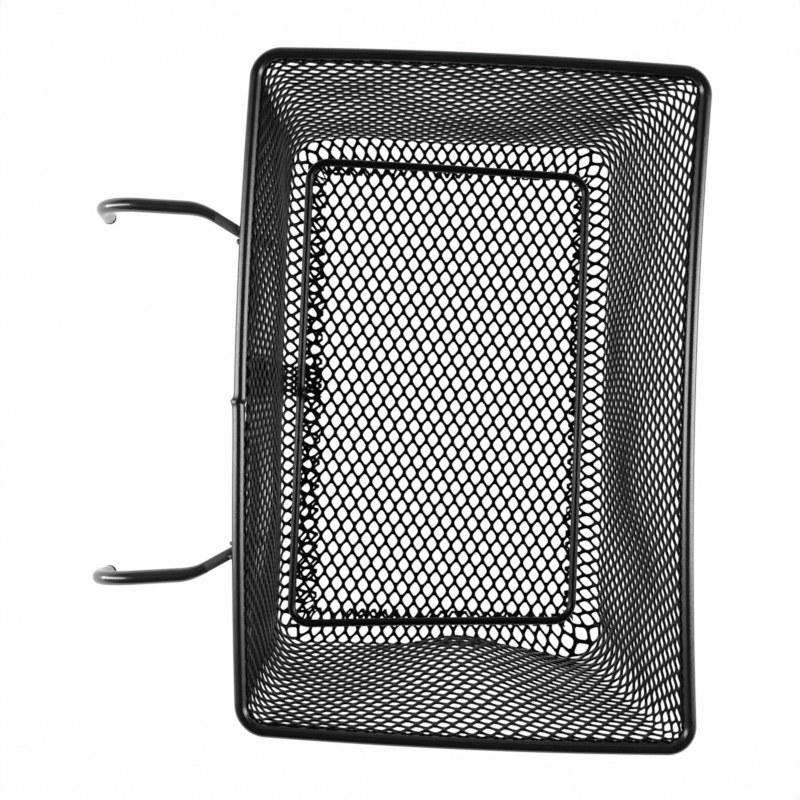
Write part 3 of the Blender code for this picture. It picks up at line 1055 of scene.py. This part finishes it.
HOOK_PLACES = {
    Side.LEFT: HookPlace(0.0845, 0.0805, 0.0935, 0.0953, 0.0022, 0.0038),
    Side.RIGHT: HookPlace(0.0830, 0.0778, 0.0908, 0.0950, -0.0028, -0.0013),
}


@dataclass
class Hook:
    """One bent rod: up the back wall, under the rim, back over the handlebar and down."""

    plan: BasketPlan
    side: Side
    rod_radius: float = 0.0027
    foot_height: float = 0.088
    foot_dome: tuple[float, ...] = (0.0, 0.35, 0.7, 0.92)
    foot_depth: float = 0.6
    foot_flat: float = 0.25
    setback: float = 0.0232
    reach: float = 0.0752
    drop: float = 0.044
    bends: Triple = (0.007, 0.030, 0.022)
    bend_step: float = math.radians(6.0)
    least_steps: int = 4
    longest_run: float = 0.004
    gap: float = 0.0003
    sheet: float = 0.001
    sleeve_radius: float = 0.00366
    sleeve_lead: float = 0.001
    sleeve_taper: float = 0.016
    sleeve_fit: float = 0.00005
    mouth_wall: float = 0.0001
    mouth_run: float = 0.0005
    lip_turns: tuple[float, ...] = (0.0, 0.3, 0.7, 1.0)
    tip_over: float = 0.0018
    tip_dome: tuple[float, ...] = (0.0, 0.4, 0.7, 0.9, 0.98)
    tip_flat: float = 0.985
    weld_apart: float = 0.0033
    weld_back: float = 0.0031
    weld_below: float = 0.0018
    weld_size: Triple = (0.0017, 0.0014, 0.0017)
    weld_grown: Pair = (0.9, 1.15)
    weld_rough: float = 0.1
    weld_poles: float = 0.985

    @property
    def at(self) -> HookPlace:
        """The hook's own distances."""
        return HOOK_PLACES[self.side]

    def back_x(self, outline: Outline, y: float) -> float:
        """X of an outline's back side, bent as the rim is.

        Args:
            outline: the rim's axis or the wall's top line.
            y: place along the back side.

        Returns:
            X there.
        """
        stops = self.plan.stops
        share = stops[1] * min(abs(y) / (outline.half_y - outline.corner), 1.0)
        point = outline.points(np.array(share if y < 0 else 1.0 - share), stops)
        return float(self.plan.rim_bent(point)[0])

    def leg(self) -> np.ndarray:
        """The leg, against the outside of the back wall and along its slope.

        Returns:
            Five points from the foot to just under the rim.
        """
        plan, at, sign = self.plan, self.at, self.side.value
        off_wall = self.sheet / 2 + self.gap + self.rod_radius
        under = plan.rim_height - plan.rim_tube_radius - self.gap - self.rod_radius
        share = np.linspace(0.0, 1.0, 5)
        y = sign * (at.foot + (at.root - at.foot) * share)
        z = self.foot_height + (under - self.foot_height) * share
        spread = plan.spread((z - plan.flange_middle) / plan.wall_height, plan.wall_flare)
        top = np.array([self.back_x(plan.wall_top_line, value) for value in y])
        x = -plan.crease.half_x + (top + plan.crease.half_x) * spread - off_wall
        return np.column_stack([x, y, z])

    def path(self) -> tuple[np.ndarray, int]:
        """The rod's whole path.

        Straight runs pass through the corners, and each corner is replaced by
        an arc: its start plus the radius times the sine of the angle along the
        arriving run, and one less the cosine towards the inside.

        Returns:
            The path's points and the number of the first point of the arm bend.
        """
        plan, sign, at = self.plan, self.side.value, self.at
        leg = self.leg()
        tube_x = self.back_x(plan.rim_axis, sign * at.root)
        bend_x = leg[-1, 0] - self.bends[0]
        touch = self.bends[0] + plan.rim_tube_radius + self.gap + self.rod_radius
        arm_z = plan.rim_height - math.sqrt(touch**2 - (tube_x - bend_x) ** 2) + self.bends[0]
        end = np.array([tube_x - self.reach, sign * at.end, arm_z])
        corners = [
            leg[-2],
            np.array([leg[-1, 0], sign * at.root, arm_z]),
            np.array([tube_x - self.setback, sign * at.bend, arm_z]),
            end,
            end - [at.tip_back, sign * at.tip_inward, self.drop],
        ]
        parts = [leg[:-1]]
        counts = []
        for before, corner, after, radius in zip(corners, corners[1:], corners[2:], self.bends):
            arriving, leaving = unit(corner - before), unit(after - corner)
            bend = math.acos(float(np.clip(arriving @ leaving, -1, 1)))
            start = corner - arriving * radius * math.tan(bend / 2)
            inward = unit(leaving - arriving * (arriving @ leaving))
            angle = np.linspace(0, bend, self.least_steps + math.ceil(bend / self.bend_step))[:, None]
            counts.append(sum(len(part) for part in parts))
            parts.append(start + radius * (np.sin(angle) * arriving + (1 - np.cos(angle)) * inward))
        parts.append(corners[-1][None])
        return self.refined(np.concatenate(parts), counts[1])

    def refined(self, path: np.ndarray, mark: int) -> tuple[np.ndarray, int]:
        """Put points between those that stand too far apart.

        Args:
            path: the rod's path.
            mark: number of one of its points.

        Returns:
            The finer path and the same point's number on it.
        """
        length = run_lengths(path)
        spans = zip(length, length[1:])
        runs = [(a, b, max(2, math.ceil((b - a) / self.longest_run) + 1)) for a, b in spans]
        stations = np.unique(np.concatenate([length, *(np.linspace(*run)[1:-1] for run in runs)]))
        return along_path(path, stations), int(np.searchsorted(stations, length[mark]))

    def build_rod(self, path: np.ndarray, dress: Material) -> Object:
        """Sweep the rod, its foot rounded over.

        At each share of the foot's depth the radius is a flat part plus the
        rest times the root of one less the square of what is left.

        Args:
            path: the rod's path.
            dress: the rod's coat.

        Returns:
            The rod, which stands for the hook's CAD node.
        """
        dome = np.array(self.foot_dome)
        round_share = self.foot_flat + (1 - self.foot_flat) * np.sqrt(1 - (1 - dome) ** 2)
        depth = dome * self.rod_radius * self.foot_depth
        start = path[0] + unit(path[1] - path[0]) * depth[:, None]
        radius = self.rod_radius * np.concatenate([round_share, np.ones(len(path) - 1)])
        bar = Sweep(np.concatenate([start, path[1:]]), radius, steady=ACROSS, around=22)
        name = f"hook_rod_{self.side.label}"
        return place(name, bar.mesh(name), dress, "hook_coat", f"hook_{self.side.label}")

    def build_sleeve(self, path: np.ndarray, mark: int, dress: Material) -> Object:
        """Carry the sleeve's wall along the rod: inside from the tip to the mouth, outside back.

        The lip is a quarter circle, the outside grows by a smooth step from
        the mouth, and the tip is a dome whose radius is the root of one less
        the square of its share of the way.

        Args:
            path: the rod's path.
            mark: number of the path's point where the arm bend starts.
            dress: the sleeve's vinyl.

        Returns:
            The sleeve, which stands for its CAD node.
        """
        length = run_lengths(path)
        mouth = length[mark] - self.sleeve_lead
        covered = along_path(path, np.concatenate([[mouth], length[length > mouth + self.mouth_run]]))
        tangent = unit(np.gradient(covered, axis=0))
        last = len(covered) - 1
        bore = self.rod_radius + self.sleeve_fit
        mouth_radius = bore + self.mouth_wall
        lip = np.array(self.lip_turns) * math.pi / 2
        lip_back = self.mouth_wall * (1 - np.cos(lip))
        dome = np.array(self.tip_dome)
        tip = covered[-1] + tangent[-1] * self.tip_over
        grown = smooth(run_lengths(covered)[1:-1] / self.sleeve_taper)
        parts = [
            (covered[-2::-1], np.full(last, bore), np.arange(last - 1, -1, -1)),
            (
                covered[0] + tangent[0] * lip_back[:, None],
                bore + self.mouth_wall * np.sin(lip),
                np.zeros(len(lip), int),
            ),
            (covered[1:-1], mouth_radius + (self.sleeve_radius - mouth_radius) * grown, np.arange(1, last)),
            (
                covered[-2] + (tip - covered[-2]) * dome[:, None],
                self.sleeve_radius * np.sqrt(1 - (dome * self.tip_flat) ** 2),
                np.full(len(dome), last),
            ),
        ]
        centres, radius, number = (np.concatenate(column) for column in zip(*parts))
        bar = Sweep(centres, radius, steady=ACROSS, along=tangent[number])
        name = f"sleeve_{self.side.label}"
        return place(name, bar.mesh(name), dress, "sleeve_vinyl", f"hook_sleeve_{self.side.label}")

    def build_weld(self, dress: Material) -> Object:
        """The weld between rod and rim: a soft lump on each side of the rod.

        A point is the centre plus the three half axes times a unit sphere's
        point, scaled by one plus a tenth of a product of sines. The two lumps
        stand apart along the rim, and the lower one is a little larger.

        Args:
            dress: the rim's coat.

        Returns:
            The weld.
        """
        plan, sign = self.plan, self.side.value
        tube_x = self.back_x(plan.rim_axis, sign * self.at.root)
        middle = np.array([tube_x - self.weld_back, sign * self.at.root, plan.rim_height - self.weld_below])
        turn = np.linspace(0, 2 * math.pi, 20, endpoint=False)[None]
        tilt = np.linspace(-math.pi / 2, math.pi / 2, 11)[:, None] * self.weld_poles
        lump = 1 + self.weld_rough * np.sin(3 * turn + sign) * np.sin(2 * tilt + 1.0)
        level = np.cos(tilt)
        sphere = np.stack([level * np.cos(turn), level * np.sin(turn), np.sin(tilt) + 0 * turn], axis=-1)
        sphere = sphere * lump[..., None] * self.weld_size
        name = f"hook_weld_{self.side.label}"
        lumps = bmesh.new()
        for end, grown in zip((1, -1), self.weld_grown):
            part = ring_mesh(name, middle + [0.0, end * self.weld_apart, 0.0] + sphere * grown, closed=False)
            lumps.from_mesh(part)
            bpy.data.meshes.remove(part)
        both = bpy.data.meshes.new(name)
        lumps.to_mesh(both)
        lumps.free()
        both.shade_smooth()
        return place(name, both, dress, "rim_coat")

    def build(self, rod: Material, vinyl: Material, coat: Material) -> None:
        """Make the rod, its sleeve and its weld.

        Args:
            rod: the rod's satin coat, its grey colour partly painted sheen.
            vinyl: the sleeve's material.
            coat: the rim's coat, for the weld.
        """
        path, mark = self.path()
        self.build_rod(path, rod)
        self.build_sleeve(path, mark, vinyl)
        self.build_weld(coat)


# Finishes


def feed(node: Node, values: dict[str | int, Feed]) -> Node:
    """Link or set a node's inputs.

    Args:
        node: the node.
        values: for each input, by name or number, a socket to link or a plain value.

    Returns:
        The same node.
    """
    for key, value in values.items():
        if isinstance(value, NodeSocket):
            node.id_data.links.new(value, node.inputs[key])
        else:
            node.inputs[key].default_value = value
    return node


def math_node(tree: NodeTree, operation: str, first: Feed, second: Feed, clamp: bool = False) -> NodeSocket:
    """Add a math node.

    Args:
        tree: the tree that gets it.
        operation: the node's operation.
        first: socket or number.
        second: socket or number.
        clamp: whether the result stays between 0 and 1.

    Returns:
        The node's output.
    """
    node = tree.nodes.new("ShaderNodeMath")
    node.operation = operation
    node.use_clamp = clamp
    return feed(node, {0: first, 1: second}).outputs[0]


@dataclass(frozen=True)
class Finish:
    """A black coat or vinyl, with its texture at the real scale."""

    name: str
    colour: Triple
    roughness: Pair
    specular: float
    peel_scale: float
    peel_depth: float
    tone: float
    dust: float
    clear_coat: float = 0.0
    clear_roughness: float = 0.1

    def material(self, surface: NodeTree) -> Material:
        """Build the finish as a material.

        Args:
            surface: the shared coat group.

        Returns:
            The material, whose colour, roughness and bump come from the group.
        """
        material = bpy.data.materials.new(self.name)
        material.use_nodes = True
        nodes = material.node_tree.nodes
        coat = nodes.new("ShaderNodeGroup")
        coat.node_tree = surface
        values = {
            "Place": nodes.new("ShaderNodeTexCoord").outputs["Object"],
            "Colour": (*self.colour, 1.0),
            "Least Roughness": self.roughness[0],
            "Most Roughness": self.roughness[1],
            "Peel Scale": self.peel_scale,
            "Tone": self.tone,
            "Dust": self.dust,
        }
        feed(coat, values)
        height = coat.outputs["Height"]
        bump = feed(nodes.new("ShaderNodeBump"), {"Distance": self.peel_depth, "Height": height})
        looks = {
            "Base Color": coat.outputs["Colour"],
            "Roughness": coat.outputs["Roughness"],
            "Normal": bump.outputs["Normal"],
            "Specular IOR Level": self.specular,
            "Coat Weight": self.clear_coat,
            "Coat Roughness": self.clear_roughness,
        }
        feed(nodes["Principled BSDF"], looks)
        return material


class Coat(Enum):
    """The finishes of the basket's pieces."""

    RIM = Finish("rim_gloss_coat", (0.006, 0.006, 0.0065), (0.20, 0.30), 1.0, 900.0, 0.00003, 0.08, 0.06)
    MESH = Finish("mesh_gloss_coat", (0.003, 0.003, 0.0033), (0.26, 0.38), 0.12, 1100.0, 0.00003, 0.05, 0.06)
    RING = Finish("ring_gloss_coat", (0.003, 0.003, 0.0033), (0.22, 0.32), 0.55, 900.0, 0.00003, 0.05, 0.05)
    # The rod's coat is satin black; its grey colour is partly painted sheen, standing in for light from
    # above that the studio lacks.
    HOOK = Finish("hook_satin_coat_and_painted_sheen", (0.060, 0.060, 0.063), (0.48, 0.58), 1.0, 1000.0, 0.00004, 0.2, 0.1)
    SLEEVE = Finish(
        "sleeve_vinyl",
        (0.01, 0.01, 0.011),
        (0.3, 0.4),
        specular=1.0,
        peel_scale=700.0,
        peel_depth=0.00003,
        tone=0.1,
        dust=0.06,
        clear_coat=1.0,
        clear_roughness=0.08,
    )


class CoatGroup:
    """Shader node group for powder coat and vinyl: orange peel, uneven gloss, dust.

    SLOW, MIDDLING and FINE are the scale and detail of its noises, and the
    peel's noise takes its scale from outside. SPECK and PATCH are the level
    above which a noise counts and the steepness there. The MIX numbers are
    the colour sockets of a Mix node.
    """

    INPUTS = (
        ("Place", "NodeSocketVector", None),
        ("Colour", "NodeSocketColor", (0.02, 0.02, 0.02, 1.0)),
        ("Least Roughness", "NodeSocketFloat", 0.2),
        ("Most Roughness", "NodeSocketFloat", 0.3),
        ("Peel Scale", "NodeSocketFloat", 900.0),
        ("Tone", "NodeSocketFloat", 0.3),
        ("Dust", "NodeSocketFloat", 0.3),
    )
    OUTPUTS = (
        ("Colour", "NodeSocketColor"),
        ("Roughness", "NodeSocketFloat"),
        ("Height", "NodeSocketFloat"),
    )
    SLOW = (60.0, 3.0)
    MIDDLING = (220.0, 2.0)
    FINE = (2600.0, 3.0)
    PEEL_DETAIL = 2.0
    SPECK = (0.57, 6.0)
    PATCH = (0.35, 2.5)
    UPWARD_POWER = 3.0
    DUST_DULLNESS = 0.3
    PALER = (0.05, 0.05, 0.053, 1.0)
    DUST_GREY = (0.16, 0.155, 0.15, 1.0)
    MIX_LOW = 6
    MIX_HIGH = 7
    MIX_RESULT = 2

    def __init__(self) -> None:
        """Start an empty group with its sockets."""
        self.tree = bpy.data.node_groups.new("powder_coat_surface", "ShaderNodeTree")
        for name, kind, value in self.INPUTS:
            socket = self.tree.interface.new_socket(name, in_out="INPUT", socket_type=kind)
            if value is not None:
                socket.default_value = value
        for name, kind in self.OUTPUTS:
            self.tree.interface.new_socket(name, in_out="OUTPUT", socket_type=kind)
        self.entry = self.tree.nodes.new("NodeGroupInput")
        self.exit = self.tree.nodes.new("NodeGroupOutput")

    def noise(self, scale: Feed, detail: float) -> NodeSocket:
        """Return the value of a new noise over the surface."""
        values = {"Vector": self.entry.outputs["Place"], "Scale": scale, "Detail": detail}
        return feed(self.tree.nodes.new("ShaderNodeTexNoise"), values).outputs["Fac"]

    def blend(self, share: NodeSocket, low: Feed, high: Feed) -> NodeSocket:
        """Add a colour mix between two sockets or colours.

        Args:
            share: how much of the second.
            low: the first colour.
            high: the second colour.

        Returns:
            The mixed colour.
        """
        node = self.tree.nodes.new("ShaderNodeMix")
        node.data_type = "RGBA"
        feed(node, {"Factor": share, self.MIX_LOW: low, self.MIX_HIGH: high})
        return node.outputs[self.MIX_RESULT]

    def build(self) -> NodeTree:
        """Wire the group.

        Tone: the colour leans to a paler one by a slow noise. Dust: where the
        surface faces up, specks of a fine noise turn it grey and dull. Gloss
        varies between the two roughnesses by a middling noise. Height is the
        peel's fine noise.

        Returns:
            The finished group.
        """
        tree, entry = self.tree, self.entry.outputs
        add = partial(math_node, tree, "ADD")
        subtract = partial(math_node, tree, "SUBTRACT")
        multiply = partial(math_node, tree, "MULTIPLY")
        slow = self.noise(*self.SLOW)
        middling = self.noise(*self.MIDDLING)
        fine = self.noise(*self.FINE)
        tone = multiply(slow, entry["Tone"], clamp=True)
        paler = self.blend(tone, entry["Colour"], self.PALER)
        normal = tree.nodes.new("ShaderNodeNewGeometry").outputs["Normal"]
        upward = feed(tree.nodes.new("ShaderNodeSeparateXYZ"), {0: normal}).outputs["Z"]
        upward = math_node(tree, "POWER", math_node(tree, "MAXIMUM", upward, 0.0), self.UPWARD_POWER)
        speck = multiply(subtract(fine, self.SPECK[0]), self.SPECK[1], clamp=True)
        patch = multiply(subtract(slow, self.PATCH[0]), self.PATCH[1], clamp=True)
        dusty = multiply(multiply(upward, speck), multiply(patch, entry["Dust"]), clamp=True)
        spread = subtract(entry["Most Roughness"], entry["Least Roughness"])
        gloss = add(entry["Least Roughness"], multiply(spread, middling))
        looks = {
            "Colour": self.blend(dusty, paler, self.DUST_GREY),
            "Roughness": add(gloss, multiply(dusty, self.DUST_DULLNESS), clamp=True),
            "Height": self.noise(entry["Peel Scale"], self.PEEL_DETAIL),
        }
        feed(self.exit, looks)
        return tree


# Studio


@dataclass
class Studio:
    """White floor, two tall soft boxes beside the basket, and the camera above it."""

    floor_half: float = 30.0
    floor_below: float = 0.0004
    floor_matt: float = 0.9
    floor_own_light: float = 0.97
    box_distance: float = 1.25
    box_width: float = 0.44
    box_low: float = 0.02
    box_high: float = 1.95
    box_watts: float = 18.5
    fill_watts: float = 1.2
    fill_size: Pair = (1.6, 1.2)
    fill_at: Triple = (0.0, 1.5, 1.1)
    fill_tilt: float = math.radians(-60.0)
    world_grey: float = 0.03
    camera_at: Triple = (-0.0273, 0.0154, 0.950)
    camera_turn: float = math.radians(1.404)
    camera_lens: float = 68.2
    camera_shift: float = -0.0392

    def floor(self) -> None:
        """Lay the floor: white to the eye and in reflections, plain matt for all other light.

        The share of its own light is the greatest of the marks of camera,
        glossy and transmission rays, times the own light.
        """
        half = self.floor_half
        corners = np.array([[-half, -half], [half, -half], [half, half], [-half, half]])
        mesh = flat_mesh("floor", at_height(corners, -self.floor_below), np.arange(4)[None], NO_TRIANGLES)
        stand("floor", mesh)
        material = bpy.data.materials.new("floor_white")
        material.use_nodes = True
        tree = material.node_tree
        tree.nodes.remove(tree.nodes["Principled BSDF"])
        matt = feed(tree.nodes.new("ShaderNodeBsdfDiffuse"), {"Color": (*[self.floor_matt] * 3, 1.0)})
        glow = tree.nodes.new("ShaderNodeEmission")
        rays = tree.nodes.new("ShaderNodeLightPath").outputs
        seen = math_node(tree, "MAXIMUM", rays["Is Camera Ray"], rays["Is Glossy Ray"])
        seen = math_node(tree, "MAXIMUM", seen, rays["Is Transmission Ray"])
        share = math_node(tree, "MULTIPLY", seen, self.floor_own_light)
        shaders = {0: share, 1: matt.outputs[0], 2: glow.outputs[0]}
        mix = feed(tree.nodes.new("ShaderNodeMixShader"), shaders)
        feed(tree.nodes["Material Output"], {"Surface": mix.outputs[0]})
        mesh.materials.append(material)

    @staticmethod
    def lamp(name: str, size: Pair, watts: float, at: Triple, turn: Triple) -> None:
        """Stand an oblong area lamp in the room.

        Args:
            name: the lamp's name.
            size: its sides.
            watts: its power.
            at: its place.
            turn: its rotation about the three axes.
        """
        lamp = bpy.data.lights.new(name, "AREA")
        lamp.shape = "RECTANGLE"
        lamp.size, lamp.size_y = size
        lamp.energy = watts
        obj = stand(name, lamp)
        obj.location = at
        obj.rotation_euler = turn

    def lamps(self) -> None:
        """Stand two tall soft boxes, before and behind the basket, and a weak one at its left end."""
        size = (self.box_high - self.box_low, self.box_width)
        middle = (self.box_low + self.box_high) / 2
        for sign, label in ((1, "front"), (-1, "back")):
            at = (sign * self.box_distance, 0.0, middle)
            self.lamp(f"soft_box_{label}", size, self.box_watts, at, (0.0, sign * math.pi / 2, 0.0))
        self.lamp("fill", self.fill_size, self.fill_watts, self.fill_at, (self.fill_tilt, 0.0, 0.0))

    def camera(self) -> None:
        """Hang the camera straight above the basket, as the photograph was taken."""
        lens = bpy.data.cameras.new("camera")
        lens.lens = self.camera_lens
        lens.sensor_width = 36.0
        lens.shift_y = self.camera_shift
        obj = stand("camera", lens)
        obj.location = self.camera_at
        obj.rotation_euler = (0.0, 0.0, self.camera_turn)
        bpy.context.scene.camera = obj

    def build(self) -> None:
        """Set up floor, lamps, world, camera and the plain view transform."""
        self.floor()
        self.lamps()
        world = bpy.data.worlds.new("room")
        world.use_nodes = True
        feed(world.node_tree.nodes["Background"], {"Color": (*[self.world_grey] * 3, 1.0)})
        bpy.context.scene.world = world
        self.camera()
        bpy.context.scene.view_settings.view_transform = "Standard"


@dataclass
class Basket:
    """The whole basket, built piece by piece."""

    plan: BasketPlan = BasketPlan()

    def build(self) -> None:
        """Make every finish and every piece."""
        surface = CoatGroup().build()
        coats = {coat: coat.value.material(surface) for coat in Coat}
        SideMesh(self.plan).build(coats[Coat.MESH])
        FloorPanel(self.plan).build(coats[Coat.MESH])
        Rim(self.plan).build(coats[Coat.RIM])
        FloorRing(self.plan).build(coats[Coat.RING])
        for side in Side:
            Hook(self.plan, side).build(coats[Coat.HOOK], coats[Coat.SLEEVE], coats[Coat.RIM])


def main() -> None:
    """Build the basket and the studio."""
    logging.basicConfig(level=logging.INFO, format="%(message)s")
    Basket().build()
    Studio().build()


if __name__ == "__main__":
    main()
